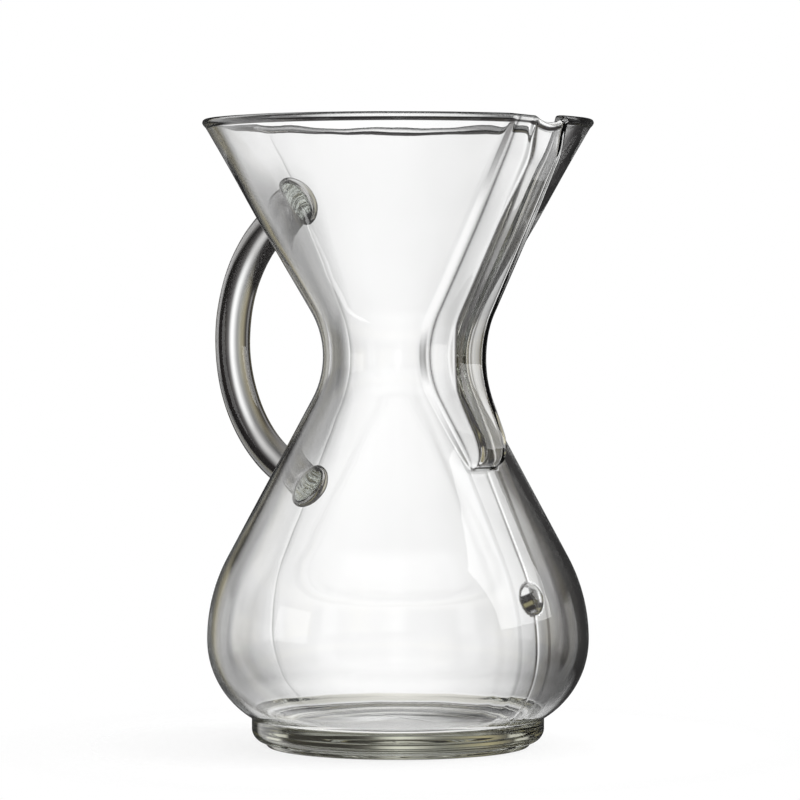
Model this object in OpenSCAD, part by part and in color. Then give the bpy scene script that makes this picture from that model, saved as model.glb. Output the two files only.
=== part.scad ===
// Pour-over coffee maker: an hourglass vessel of clear blown glass, with a pouring channel down its front
// and a bent glass rod fused on behind it as a handle.
// Millimetres, +Z up. The origin is the centre of the resting face.
// The pouring channel points along +X and the handle along -X.

/* [Vessel] */
// Height from the resting face to the top of the rim
overall_h = 216; // [200:1:240]
// Outside diameter of the rim
rim_d = 135; // [122:1:150]
// Thickness of the glass wall
wall = 2.8; // [2:0.1:3.6]
// Outside diameter of the waist
waist_d = 51.8; // [46:0.2:58]
// Height of the narrowest point of the waist
waist_z = 134.5; // [128:0.5:141]
// Outside radius of the bend at the waist
waist_bend_r = 31; // [25:0.5:36]

/* [Flask] */
// Largest outside diameter of the flask
flask_d = 131.8; // [124:0.2:140]
// Height of the widest point of the flask
flask_z = 37; // [34:0.5:41]
// Radius of the curve above the widest point
flask_upper_r = 60; // [52:0.5:66]
// Radius of the curve below the widest point
flask_lower_r = 31.5; // [29:0.5:33]

/* [Foot] */
// Outside diameter of the foot
foot_d = 101; // [97:0.5:106]
// Radius of the rounded lower edge of the foot
foot_edge_r = 4.8; // [3:0.1:4.9]
// Outside diameter of the ring that the vessel stands on
ring_d = 91; // [84:0.5:92]
// Height of the ring
ring_h = 1.5; // [1:0.1:2.5]
// Radius of the rounded lower edge of the ring
ring_edge_r = 0.8; // [0.4:0.1:0.9]
// Width of the flat resting face under the ring
ring_face_w = 4.2; // [2:0.1:6]
// Height of the dome pressed up under the floor
punt_h = 3; // [1.5:0.1:4]

/* [Pour channel] */
// How far the channel stands out from the wall, measured level
channel_depth = 10.5; // [9:0.1:13]
// Outside width across the channel's crest
channel_crest_w = 16.8; // [15:0.1:19]
// Outside width where its flanks meet the wall
channel_foot_w = 23.4; // [21:0.1:27]
// Outside radius of the two long edges of the crest
channel_edge_r = 3; // [2:0.1:4]
// Inside radius of those edges
channel_inner_edge_r = 1; // [0.5:0.1:2]
// Outside radius where the flanks run into the wall
channel_fillet_r = 1.6; // [1:0.1:3]
// Inside radius of that bend
channel_inner_fillet_r = 2.4; // [1.5:0.1:5]
// Height of the closed lower end of the channel
channel_bottom_z = 97.5; // [90:0.5:104]
// Length over which the lower end rises to its full depth
channel_end_l = 12; // [8:0.5:20]
// How much narrower the lower end is than the rest, as a share
channel_end_taper = 0.42; // [0:0.01:0.5]
// Length over which it widens from there
channel_taper_l = 42; // [20:1:60]
// Depth of the channel at the rim
channel_rim_depth = 6.5; // [5:0.1:9]
// Length below the rim over which the depth changes to that
channel_fade_l = 15; // [10:0.5:30]
// How far the pouring lip dips below the rim
lip_dip = 3; // [1:0.1:5]

/* [Handle] */
// Diameter of the glass rod
rod_d = 12.6; // [10:0.1:14]
// Length of the straight end that meets the funnel
upper_end_l = 8.6; // [8:0.1:12]
// Distance from the vessel's axis to the outermost middle of the rod
handle_reach = 84.1; // [78:0.1:92]
// Height of the outermost point of the handle
handle_z = 139.2; // [136:0.2:142]
// Diameter of the flattened end where the rod is fused to the wall
weld_d = 16.6; // [15:0.1:20]
// Height of the straight edge of that end
weld_edge_h = 1.4; // [0.8:0.1:2]
// Length of the flare from the rod to that end
weld_flare_h = 5; // [3:0.1:6]

/* [Level button] */
// Diameter of the raised glass button
button_d = 10.5; // [8:0.1:13]
// How far the button stands out from the wall
button_h = 3; // [1.5:0.1:4]
// Height of the middle of the button
button_z = 54; // [48:0.5:60]

/* [Hidden] */
$fn = 96;
arc_steps = 16;
dome_steps = 12;
channel_rows = 40;
fillet_steps = 4;
edge_steps = 6;
lip_steps = 7;
strip_edge_w = 0.8;

// Centres of the profile's curves, as [radius, height]
bead_c = [(rim_d - wall) / 2, overall_h - wall / 2];
waist_c = [waist_d / 2 + waist_bend_r, waist_z];
upper_c = [flask_d / 2 - flask_upper_r, flask_z];
lower_c = [flask_d / 2 - flask_lower_r, flask_z];

// Slopes of the two straight stretches from the vertical, each tangent to the curves that it joins
waist_to_bead = bead_c - waist_c;
funnel_a = asin((waist_bend_r + wall / 2) / norm(waist_to_bead))
    + atan2(waist_to_bead[0], waist_to_bead[1]);
flask_to_waist = waist_c - upper_c;
shoulder_a = atan2(flask_to_waist[1], flask_to_waist[0])
    - acos((waist_bend_r + flask_upper_r) / norm(flask_to_waist));
// How far the flask curves under before it meets the foot
foot_a = acos((foot_d / 2 - lower_c[0]) / flask_lower_r);
// Where the base takes over inside, half-way from there to the level floor
floor_a = (foot_a + 90) / 2;

// Outward normals of the straight stretches
funnel_n = [cos(funnel_a), -sin(funnel_a)];
shoulder_n = [cos(shoulder_a), sin(shoulder_a)];

inner_bend_r = waist_bend_r + wall;
inner_upper_r = flask_upper_r - wall;
inner_lower_r = flask_lower_r - wall;
funnel_top = bead_c + funnel_n * wall / 2;
funnel_bottom = waist_c - waist_bend_r * funnel_n;
shoulder_top = waist_c - waist_bend_r * shoulder_n;
shoulder_bottom = upper_c + flask_upper_r * shoulder_n;
floor_z = flask_z - inner_lower_r;
ring_face_r = ring_d / 2 - ring_face_w;
punt_r = (pow(ring_face_r, 2) + pow(punt_h, 2)) / (2 * punt_h);
punt_a = asin(ring_face_r / punt_r);

// Slant of the channel's flanks, and how far a rounding of radius 1 reaches from the corner that it rounds
flank_a = atan((channel_foot_w - channel_crest_w) / 2 / channel_depth);
corner_reach = tan((90 - flank_a) / 2);
// Width of the strip of wall that carries the channel
strip_w = channel_foot_w
    + 2 * (max(channel_fillet_r, channel_inner_fillet_r - wall) * corner_reach + strip_edge_w);

// The channel's two top edges, where the rounded lip begins
lip_outer_z = funnel_top[1];
lip_inner_z = (bead_c - funnel_n * wall / 2)[1];

// The handle's bend ends where the rod points straight at the wall,
// at the upper end's length from the funnel
handle_c = [
    funnel_top[0] + (upper_end_l - (handle_z - funnel_top[1]) * funnel_n[1]) / funnel_n[0],
    handle_z];
handle_bend_r = handle_reach - handle_c[0];
handle_top = handle_c + handle_bend_r * [sin(funnel_a), cos(funnel_a)];
handle_low = handle_c + handle_bend_r * [sin(shoulder_a), -cos(shoulder_a)];
lower_end_l = (handle_low - shoulder_top) * shoulder_n;
upper_weld_p = handle_top - upper_end_l * funnel_n;
lower_weld_p = handle_low - lower_end_l * shoulder_n;

button_a = asin((button_z - flask_z) / flask_upper_r);
button_p = upper_c + flask_upper_r * [cos(button_a), sin(button_a)];
button_cap_r = (pow(button_d / 2, 2) + pow(button_h, 2)) / (2 * button_h);

// Points along an arc from angle a0 to a1
function arc(centre, radius, a0, a1, steps = arc_steps) =
    [for (i = [0:steps]) let (a = a0 + (a1 - a0) * i / steps) centre + radius * [cos(a), sin(a)]];

// Radius of the wall above the flask at height z, on the surface whose bend at the waist
// has the given radius
function wall_r(z, bend_r) =
    let (top = waist_z + bend_r * sin(funnel_a), bottom = waist_z - bend_r * sin(shoulder_a))
    z > top ? waist_c[0] - bend_r * cos(funnel_a) + (z - top) * tan(funnel_a)
    : z < bottom ? waist_c[0] - bend_r * cos(shoulder_a) + (bottom - z) * tan(shoulder_a)
    : waist_c[0] - sqrt(pow(bend_r, 2) - pow(z - waist_z, 2));

// Share of the channel's depth at height z: it rises roundly from the closed end
// and eases off below the rim
function rise(z) =
    let (s = (z - channel_bottom_z) / channel_end_l)
    s >= 1 ? 1 : sqrt(1 - pow(1 - max(s, 0), 2));
function ease(z) = let (s = min(1, max(0, 1 - (overall_h - z) / channel_fade_l))) s * s * (3 - 2 * s);
function depth_share(z) = rise(z) * (1 - ease(z) * (1 - channel_rim_depth / channel_depth));

// Share of the channel's width at height z: the lower end is narrower
function width_share(z) =
    let (s = min(1, max(0, (z - channel_bottom_z) / channel_taper_l)))
    1 - channel_end_taper * pow(1 - s, 2);

// Outline across the channel from one edge of its strip to the other, as [distance sideways, height]:
// the inside is narrower by what one wall thickness takes from each flank
function half_section(narrower, fillet_r, edge_r) = concat(
    [[strip_w / 2, 0]],
    arc([channel_foot_w / 2 - narrower + fillet_r * corner_reach, fillet_r],
        fillet_r, -90, flank_a - 180, fillet_steps),
    arc([channel_crest_w / 2 - narrower - edge_r * corner_reach, channel_depth - edge_r],
        edge_r, flank_a, 90, edge_steps),
    [[0, channel_depth]]);
function section(narrower, fillet_r, edge_r) =
    let (half = half_section(narrower, fillet_r, edge_r))
    concat(half, [for (i = [len(half) - 2:-1:0]) [-half[i][0], half[i][1]]]);
outer_section = section(0, channel_fillet_r, channel_edge_r);
inner_section = section(wall * corner_reach, channel_inner_fillet_r, channel_inner_edge_r);
columns = len(outer_section);

// One point of the channel's wall: v runs from the closed end to the lip
function channel_point(p, v, top_z, bend_r) =
    let (
        at_edge = abs(p[0]) >= strip_w / 2,
        dip = lip_dip * (1 + cos(360 * p[0] / strip_w)) / 2,
        z = channel_bottom_z + (top_z - dip - channel_bottom_z) * v,
        side = at_edge ? p[0] : p[0] * width_share(z),
        r = wall_r(z, bend_r))
    [sqrt(r * r - side * side) + p[1] * depth_share(z), side, z];
function channel_wall(section, top_z, bend_r) = [for (i = [0:channel_rows])
    [for (p = section) channel_point(p, i / channel_rows, top_z, bend_r)]];
outer_rows = channel_wall(outer_section, lip_outer_z, waist_bend_r);
inner_rows = channel_wall(inner_section, lip_inner_z, inner_bend_r);

// Closed solid through a ring of points at each step: rings are lists of equal length,
// and the ends are capped
module loft(rings) {
    n = len(rings[0]);
    last = (len(rings) - 1) * n;
    sides = [for (i = [0:len(rings) - 2], j = [0:n - 1], half = [0, 1])
        let (a = i * n + j, b = i * n + (j + 1) % n)
        half == 0 ? [a, b, b + n] : [a, b + n, a + n]];
    caps = [for (j = [0:n / 2 - 2], half = [0, 1])
        half == 0 ? [j, n - 1 - j, n - 2 - j] : [j, n - 2 - j, j + 1]];
    far_caps = [for (f = caps) [f[0] + last, f[2] + last, f[1] + last]];
    polyhedron([for (ring = rings, p = ring) p], concat(sides, caps, far_caps));
}

// Reversed copy of a list
function reversed(list) = [for (i = [len(list) - 1:-1:0]) list[i]];

// Clears the strip of wall that the pour channel takes the place of
module channel_slot() {
    translate([0, -strip_w / 2, channel_bottom_z]) cube([rim_d, strip_w, overall_h]);
}

// Stands its children on the wall at a point [radius, height] of the profile,
// along a normal that rises by angle a
module on_wall(p, a) {
    translate([p[0], 0, p[1]]) rotate([0, 90 - a, 0]) children();
}

// Turns its children to the handle's side of the vessel
module handle_side() {
    rotate([0, 0, 180]) children();
}

// Solid cores inside the wall's outer surface, which trim what is fused on to it
module funnel_core() {
    rotate_extrude() polygon([[0, funnel_bottom[1]], funnel_bottom, funnel_top, [0, funnel_top[1]]]);
}

module shoulder_core() {
    rotate_extrude()
        polygon([[0, shoulder_bottom[1]], shoulder_bottom, shoulder_top, [0, shoulder_top[1]]]);
}

module bowl_core() {
    rotate_extrude()
        polygon(concat(arc(upper_c, flask_upper_r, 0, shoulder_a),
                       [[0, shoulder_bottom[1]], [0, flask_z]]));
}

// Fire-polished edge round the top of the funnel
module rim_bead() {
    color("lightcyan", 0.5) difference() {
        rotate_extrude() polygon(arc(bead_c, wall / 2, -funnel_a, 180 - funnel_a));
        channel_slot();
    }
}

// Cone that holds the paper filter
module funnel() {
    color("azure", 0.5) difference() {
        rotate_extrude() polygon([funnel_bottom, funnel_top, bead_c - funnel_n * wall / 2,
            waist_c - inner_bend_r * funnel_n]);
        channel_slot();
    }
}

// Narrow neck between the funnel and the flask
module waist() {
    color("lightcyan", 0.5) difference() {
        rotate_extrude() polygon(concat(
            arc(waist_c, waist_bend_r, 180 - funnel_a, 180 + shoulder_a),
            arc(waist_c, inner_bend_r, 180 + shoulder_a, 180 - funnel_a)));
        channel_slot();
    }
}

// Straight slope from the waist down to the bowl of the flask
module shoulder() {
    color("azure", 0.5) difference() {
        rotate_extrude() polygon([shoulder_top, waist_c - inner_bend_r * shoulder_n,
            upper_c + inner_upper_r * shoulder_n, shoulder_bottom]);
        channel_slot();
    }
}

// Round belly of the flask above its widest point
module upper_bowl() {
    color("lightcyan", 0.5) rotate_extrude() polygon(concat(
        arc(upper_c, flask_upper_r, shoulder_a, 0),
        arc(upper_c, inner_upper_r, 0, shoulder_a)));
}

// Round belly of the flask below its widest point, tucking in to the foot
module lower_bowl() {
    color("azure", 0.5) rotate_extrude() polygon(concat(
        arc(lower_c, flask_lower_r, 0, -foot_a),
        arc(lower_c, inner_lower_r, -floor_a, 0)));
}

// Heavy floor with its foot, standing ring and pressed-up dome
module base() {
    color("lightcyan", 0.5) rotate_extrude() polygon(concat(
        [lower_c + flask_lower_r * [cos(foot_a), -sin(foot_a)]],
        arc([foot_d / 2 - foot_edge_r, ring_h + foot_edge_r], foot_edge_r, 0, -90),
        [[ring_d / 2, ring_h]],
        arc([ring_d / 2 - ring_edge_r, ring_edge_r], ring_edge_r, 0, -90, fillet_steps),
        arc([0, punt_h - punt_r], punt_r, 90 - punt_a, 90, dome_steps),
        [[0, floor_z]],
        arc(lower_c, inner_lower_r, -90, -floor_a, fillet_steps)));
}

// Groove that lets air out beside the filter and pours the coffee
module pour_channel() {
    color("paleturquoise", 0.5)
        loft([for (i = [0:channel_rows]) concat(outer_rows[i], reversed(inner_rows[i]))]);
}

// Rounded lip along the top of the channel, in line with the rim
module spout_lip() {
    color("lightcyan", 0.5) loft([for (j = [0:columns - 1])
        let (
            outer = outer_rows[channel_rows][j],
            inner = inner_rows[channel_rows][j],
            along_wall = outer - outer_rows[channel_rows - 1][j],
            across = (outer - inner) / 2,
            up = along_wall / norm(along_wall) * norm(across))
        [for (i = [0:lip_steps]) let (a = 180 * i / lip_steps)
            (outer + inner) / 2 + across * cos(a) + up * sin(a)]]);
}

// Raised button that marks the half-full level
module level_button() {
    color("paleturquoise", 0.5) difference() {
        on_wall(button_p, button_a) translate([0, 0, button_h - button_cap_r]) sphere(button_cap_r);
        bowl_core();
    }
}

// Glass rod bent to a grip, between its two straight ends
module handle_bow() {
    color("gainsboro", 0.6) handle_side()
        translate([handle_c[0], 0, handle_c[1]]) rotate([90, 0, 0]) rotate([0, 0, shoulder_a - 90])
            rotate_extrude(angle = 180 - funnel_a - shoulder_a)
                translate([handle_bend_r, 0]) circle(d = rod_d);
}

// Straight end of the rod, flaring out to the flattened foot that is fused to the wall
module handle_end(length) {
    spread = (weld_d - rod_d) / 2;
    rotate_extrude() polygon(concat(
        [[0, -wall], [weld_d / 2, -wall]],
        [for (i = [0:dome_steps]) let (a = 90 * i / dome_steps)
            [weld_d / 2 - spread * sin(a), weld_edge_h + weld_flare_h * (1 - cos(a))]],
        [[rod_d / 2, length], [0, length]]));
}

module upper_handle_end() {
    color("silver", 0.6) handle_side() difference() {
        on_wall(upper_weld_p, -funnel_a) handle_end(upper_end_l);
        funnel_core();
    }
}

module lower_handle_end() {
    color("silver", 0.6) handle_side() difference() {
        on_wall(lower_weld_p, shoulder_a) handle_end(lower_end_l);
        shoulder_core();
    }
}

rim_bead();
funnel();
waist();
shoulder();
upper_bowl();
lower_bowl();
base();
pour_channel();
spout_lip();
level_button();
handle_bow();
upper_handle_end();
lower_handle_end();
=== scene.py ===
# %% [markdown]
# # A pour-over coffee maker of clear glass
# The real object is two pieces of glass fused into one: a vessel blown in a mould, shaped like an
# hourglass with a pouring channel down its front, and a solid rod bent to a handle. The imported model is
# loaded first, as the fixed frame: the main sizes below come from its boxes or repeat sizes that it was
# built with.

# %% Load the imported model
import math

import bpy
import numpy as np
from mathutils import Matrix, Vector


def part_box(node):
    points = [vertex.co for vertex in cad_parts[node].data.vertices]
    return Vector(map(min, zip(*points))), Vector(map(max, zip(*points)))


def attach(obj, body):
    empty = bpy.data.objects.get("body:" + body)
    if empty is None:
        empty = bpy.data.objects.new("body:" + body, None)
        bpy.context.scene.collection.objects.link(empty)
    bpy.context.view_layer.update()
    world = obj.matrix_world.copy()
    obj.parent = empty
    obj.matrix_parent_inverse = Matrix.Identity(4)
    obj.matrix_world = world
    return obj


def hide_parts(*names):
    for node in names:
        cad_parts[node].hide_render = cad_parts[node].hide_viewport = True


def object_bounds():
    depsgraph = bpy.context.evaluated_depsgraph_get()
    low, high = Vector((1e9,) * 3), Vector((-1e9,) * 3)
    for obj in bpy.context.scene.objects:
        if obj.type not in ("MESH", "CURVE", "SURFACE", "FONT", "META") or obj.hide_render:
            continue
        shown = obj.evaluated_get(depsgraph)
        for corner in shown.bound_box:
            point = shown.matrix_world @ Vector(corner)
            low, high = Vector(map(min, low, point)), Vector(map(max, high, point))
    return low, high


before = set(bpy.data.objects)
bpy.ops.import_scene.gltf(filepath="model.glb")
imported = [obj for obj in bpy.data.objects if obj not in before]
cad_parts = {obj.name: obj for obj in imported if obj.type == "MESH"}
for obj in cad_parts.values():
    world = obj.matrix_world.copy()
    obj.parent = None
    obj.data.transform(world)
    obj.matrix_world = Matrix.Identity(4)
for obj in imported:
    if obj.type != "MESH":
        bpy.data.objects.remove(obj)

MM = 0.001
scene = bpy.context.scene
cad_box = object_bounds()
print("nodes in the frame:", sorted(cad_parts))
print("box of the frame, mm:", [[round(x / MM, 1) for x in corner] for corner in cad_box])

# %% [markdown]
# Five small helpers serve the whole file. Colours are picked as sRGB hex values, as in any paint program,
# but shaders calculate with linear light, so one function converts them. One adds a node to any tree with
# its settings and links and gives back one of its outputs, which keeps a tree readable as a list. Most
# inputs go by name. A Mix node of colours has its factor at input 0, its colours at 6 and 7 and its result
# at output 2. One helper gives a colour ramp its stops. One makes an object that only holds numbers: a
# loose point for each entry of a table, with a named attribute for each column, for Geometry Nodes to look
# up. The last one is an even S-curve between two limits.

# %% Helpers
def colour(hex_value):
    """An sRGB hex colour as linear RGBA."""
    parts = [int(hex_value[i:i + 2], 16) / 255 for i in (1, 3, 5)]
    linear = [c / 12.92 if c <= 0.04045 else ((c + 0.055) / 1.055) ** 2.4 for c in parts]
    return (*linear, 1.0)


def add(tree, kind, inputs=None, out=0, **settings):
    """Adds a node, sets or links its inputs by name or number, and gives the output that out says."""
    node = tree.nodes.new(kind)
    for name, value in settings.items():
        setattr(node, name, value)
    for key, value in (inputs or {}).items():
        if isinstance(value, bpy.types.NodeSocket):
            tree.links.new(value, node.inputs[key])
        else:
            node.inputs[key].default_value = value
    return node.outputs[out] if node.outputs else node


def set_stops(ramp_output, stops):
    """Gives a colour ramp node its stops: place, sRGB colour and, where it is not 1, alpha."""
    ramp = ramp_output.node.color_ramp
    while len(ramp.elements) < len(stops):
        ramp.elements.new(0.5)
    for element, (place, tone, *alpha) in zip(ramp.elements, stops):
        element.position = place
        element.color = (*colour(tone)[:3], *(alpha or [1.0]))


def number_table(name, points, edges=(), **columns):
    """An object of loose points, or of a line through them, with columns of numbers as attributes."""
    mesh = bpy.data.meshes.new(name)
    mesh.from_pydata([tuple(p) for p in points], list(edges), [])
    for key, values in columns.items():
        mesh.attributes.new(key, "FLOAT", "POINT").data.foreach_set("value", np.asarray(values, np.float32))
    table = bpy.data.objects.new(name, mesh)
    scene.collection.objects.link(table)
    return table


def smooth_step(low, high, x):
    """0 below low, 1 above high, and an even S-curve between."""
    s = np.clip((np.asarray(x, float) - low) / (high - low), 0, 1)
    return s * s * (3 - 2 * s)

# %% [markdown]
# The camera stands where the photograph was taken from: about 1.4 m away, 155 mm above the table, with
# the channel turned 45 degrees to the right. A long lens keeps the rim and the foot nearly flat. Those
# numbers follow from the ellipses of the rim and of the standing ring, which are seen from just below and
# from just above.

# %% Camera
CAMERA_TURN = math.radians(45)
CAMERA_DISTANCE = 1380 * MM
CAMERA_HEIGHT = 154.9 * MM
CAMERA_LENS_MM = 180
CAMERA_REACH = 50
AIM_HEIGHT = 119.4 * MM
AIM_RIGHT = 0.7 * MM

towards_camera = Vector((math.sin(CAMERA_TURN), -math.cos(CAMERA_TURN), 0))
camera_right = Vector((math.cos(CAMERA_TURN), math.sin(CAMERA_TURN), 0))
camera = bpy.data.objects.new("camera", bpy.data.cameras.new("camera"))
scene.collection.objects.link(camera)
camera.data.lens = CAMERA_LENS_MM
camera.data.clip_end = CAMERA_REACH
camera.location = towards_camera * CAMERA_DISTANCE + Vector((0, 0, CAMERA_HEIGHT))
aim = camera_right * AIM_RIGHT + Vector((0, 0, AIM_HEIGHT))
camera.rotation_euler = (aim - camera.location).to_track_quat("-Z", "Y").to_euler()
scene.camera = camera
print("camera at, mm:", [round(x / MM) for x in camera.location])

# %% [markdown]
# Glass has no colour of its own: it shows what is behind it, bent. Borosilicate glass bends light a
# little less than window glass (IOR 1.474), and a trace of iron tints long paths through it green. A
# volume absorption gives that tint by depth. Where a wall is seen edge-on, light comes from far round the
# side, where a studio is dark, so outlines are drawn in grey: Layer Weight tells how edge-on a surface is
# seen, from any side, and a colour ramp turns that into a tone. A solid rod bends light more than a wall,
# so its ramp darkens sooner. Blown glass also has slow waves and fine cords, left from the gather of hot
# glass, and two soft bumps add them.

# %% Blown borosilicate glass: clear, with grey outlines, slow waves and a faint green depth
GLASS_IOR = 1.474
GLASS_TINT = "#DCE6DC"
TINT_PER_METRE = 5
WAVE_MM = 14
CORD_MM = 2.2
CORD_SHARE = 1 / 60
VESSEL_WAVE_H = 0.05
ROD_WAVE_H = 0.02
VESSEL_EDGES = [(0.0, "#FFFFFF"), (0.5, "#FAFAFA"), (0.7, "#D0D0D0"), (0.85, "#8A8A8A"), (1.0, "#707070")]
ROD_EDGES = [(0.0, "#FFFFFF"), (0.05, "#F4F4F4"), (0.14, "#A8A6A5"), (0.3, "#6E6C6B"), (0.6, "#6E6C6B"),
             (1.0, "#C0C0C0")]


def clear_glass(name, edges, wave_h):
    """Clear glass and its shader; edges gives its tone from seen straight on (0) to seen edge-on (1)."""
    material = bpy.data.materials.new(name)
    material.use_nodes = True
    tree = material.node_tree
    tree.nodes.clear()
    edge_on = add(tree, "ShaderNodeLayerWeight", {"Blend": 0.5}, out="Facing")
    outline = add(tree, "ShaderNodeValToRGB", {"Fac": edge_on})
    outline.node.color_ramp.interpolation = "EASE"
    set_stops(outline, edges)
    place = add(tree, "ShaderNodeTexCoord", out="Object")
    waves = add(tree, "ShaderNodeTexNoise", {"Vector": place, "Scale": 1 / (WAVE_MM * MM), "Detail": 1.0})
    cords = add(tree, "ShaderNodeTexNoise", {"Vector": place, "Scale": 1 / (CORD_MM * MM), "Detail": 2.0})
    soft = add(tree, "ShaderNodeBump", {"Height": waves, "Strength": 1.0, "Distance": wave_h * MM})
    fine = add(tree, "ShaderNodeBump", {"Height": cords, "Normal": soft, "Strength": 1.0,
                                        "Distance": wave_h * CORD_SHARE * MM})
    shader = add(tree, "ShaderNodeBsdfPrincipled", {"Base Color": outline, "Normal": fine, "Roughness": 0.0,
                                                    "IOR": GLASS_IOR, "Transmission Weight": 1.0})
    depth = add(tree, "ShaderNodeVolumeAbsorption", {"Color": colour(GLASS_TINT),
                                                     "Density": TINT_PER_METRE})
    add(tree, "ShaderNodeOutputMaterial", {"Surface": shader, "Volume": depth})
    print("material:", name)
    return material, shader.node


vessel_glass, vessel_shader = clear_glass("blown_borosilicate_glass", VESSEL_EDGES, VESSEL_WAVE_H)
rod_glass, rod_shader = clear_glass("drawn_borosilicate_rod", ROD_EDGES, ROD_WAVE_H)

# %% [markdown]
# The vessel's outlines are not the same everywhere. Its material tells the zones apart by place, in
# Object coordinates, which here are metres from the middle of the foot. The rounded rim bends light hard
# and is drawn in bold lines. The flask has firm outlines, the heel above the foot has broad shade, and the
# foot is thick enough to look a little olive. From the funnel to the shoulder, the handle's side is
# shaded, as if the studio were darker there. The channel is seen against the bright backdrop, and so are
# level surfaces such as the floor, which are told by their normal, so those stay clear.

# %% Masks for the zones of the vessel
RIM_H = (2.6, 2.0)
HEEL_Z = (14, 20, 24, 42)
FLASK_Z = (10, 14, 65, 90)
WAIST_Z = (85, 105, 185, 205)
HANDLE_SIDE_X = (4, -4)
FOOT_TOP = (9.2, 10.2)
CHANNEL_Y = (11, 13)
CHANNEL_CLEAR = 0.8
LEVEL = (0.6, 0.9)

rim_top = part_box("rim_bead")[1].z
channel_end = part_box("pour_channel")[0].z
tree = vessel_glass.node_tree
place = add(tree, "ShaderNodeTexCoord", out="Object")
at = add(tree, "ShaderNodeSeparateXYZ", {0: place}).node.outputs
on_rim = add(tree, "ShaderNodeMapRange", {"Value": at["Z"], "From Min": rim_top - RIM_H[0] * MM,
                                          "From Max": rim_top - RIM_H[1] * MM})
on_foot = add(tree, "ShaderNodeMapRange", {"Value": at["Z"], "From Min": FOOT_TOP[1] * MM,
                                           "From Max": FOOT_TOP[0] * MM})
bands = []
for start, full, last, end in (HEEL_Z, FLASK_Z, WAIST_Z):
    above = add(tree, "ShaderNodeMapRange", {"Value": at["Z"], "From Min": start * MM,
                                             "From Max": full * MM}, interpolation_type="SMOOTHSTEP")
    below = add(tree, "ShaderNodeMapRange", {"Value": at["Z"], "From Min": end * MM,
                                             "From Max": last * MM}, interpolation_type="SMOOTHSTEP")
    bands.append(add(tree, "ShaderNodeMath", {0: above, 1: below}, operation="MULTIPLY"))
on_heel, on_flask, on_waist = bands
by_handle = add(tree, "ShaderNodeMapRange", {"Value": at["X"], "From Min": HANDLE_SIDE_X[0] * MM,
                                             "From Max": HANDLE_SIDE_X[1] * MM})
on_waist = add(tree, "ShaderNodeMath", {0: on_waist, 1: by_handle}, operation="MULTIPLY")
beside = add(tree, "ShaderNodeMath", {0: at["Y"]}, operation="ABSOLUTE")
on_channel = add(tree, "ShaderNodeMapRange", {"Value": beside, "From Min": CHANNEL_Y[1] * MM,
                                              "From Max": CHANNEL_Y[0] * MM, "To Max": CHANNEL_CLEAR})
for axis, limit in (("X", 0.0), ("Z", channel_end)):
    past = add(tree, "ShaderNodeMath", {0: at[axis], 1: limit}, operation="GREATER_THAN")
    on_channel = add(tree, "ShaderNodeMath", {0: on_channel, 1: past}, operation="MULTIPLY")
facing = add(tree, "ShaderNodeNewGeometry", out="Normal")
facing_up = add(tree, "ShaderNodeSeparateXYZ", {0: facing}, out="Z")
facing_up = add(tree, "ShaderNodeMath", {0: facing_up}, operation="ABSOLUTE")
on_level = add(tree, "ShaderNodeMapRange", {"Value": facing_up, "From Min": LEVEL[0], "From Max": LEVEL[1]},
               interpolation_type="SMOOTHSTEP")
off_rim = add(tree, "ShaderNodeMath", {0: 1.0, 1: on_rim}, operation="SUBTRACT")
on_level = add(tree, "ShaderNodeMath", {0: on_level, 1: off_rim}, operation="MULTIPLY")
print("rim zone starts at, mm:", round(rim_top / MM - RIM_H[0], 1))
print("channel zone starts at, mm:", round(channel_end / MM, 1))

# %% [markdown]
# Each zone then gets its tone, one mix after the other. Four of them have ramps by Layer Weight, as the
# outlines do. The channel also gets a thin painted line of shade low on each flank, where it folds out of
# the wall and the bent glass would show the dark side of the studio. No height or width marks that line,
# so the lathe below stores it with every point as an attribute, and the material reads it by name.

# %% Tones for the zones of the vessel
RIM_EDGES = [(0.0, "#FFFFFF"), (0.05, "#FFFFFF"), (0.16, "#606060"), (1.0, "#383838")]
HEEL_EDGES = [(0.0, "#FFFFFF"), (0.12, "#FFFFFF"), (0.35, "#D4D4D4"), (0.5, "#BCBCBC"), (1.0, "#B0B0B0")]
FLASK_EDGES = [(0.0, "#FFFFFF"), (0.55, "#FFFFFF"), (0.64, "#E4E4E4"), (0.7, "#C6C6C6"), (1.0, "#B0B0B0")]
WAIST_EDGES = [(0.0, "#FFFFFF"), (0.27, "#FFFFFF"), (0.4, "#B6B6B6"), (0.7, "#BEBEBE"), (1.0, "#E0E0E0")]
FOOT_TONE = "#DAD7CA"
# painted shade: the dark line where the channel folds out of the wall
FOLD_SHADE_TONE = "#141212"
CLEAR = "#FFFFFF"

edge_on = add(tree, "ShaderNodeLayerWeight", {"Blend": 0.5}, out="Facing")
edge_tones = []
for edges in (RIM_EDGES, HEEL_EDGES, FLASK_EDGES, WAIST_EDGES):
    edge_tones.append(add(tree, "ShaderNodeValToRGB", {"Fac": edge_on}))
    set_stops(edge_tones[-1], edges)
bold, broad, firm, shaded = edge_tones
# painted shade: the line where the channel folds out of the wall, as the lathe stored it
on_fold_shade = add(tree, "ShaderNodeAttribute", out="Fac", attribute_name="fold")
tone = vessel_shader.inputs["Base Color"].links[0].from_socket
zones = [(on_channel, colour(CLEAR), "MIX"),
         (on_heel, broad, "MULTIPLY"),
         (on_flask, firm, "MULTIPLY"),
         (on_waist, shaded, "MULTIPLY"),
         (on_rim, bold, "MIX"),
         (on_foot, colour(FOOT_TONE), "MULTIPLY"),
         (on_level, colour(CLEAR), "MIX"),
         (on_fold_shade, colour(FOLD_SHADE_TONE), "MULTIPLY")]
for share, other, blend in zones:
    tone = add(tree, "ShaderNodeMix", {0: share, 6: tone, 7: other}, out=2, data_type="RGBA",
               blend_type=blend)
tree.links.new(tone, vessel_shader.inputs["Base Color"])
print("nodes in the vessel's glass:", len(tree.nodes))

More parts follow.
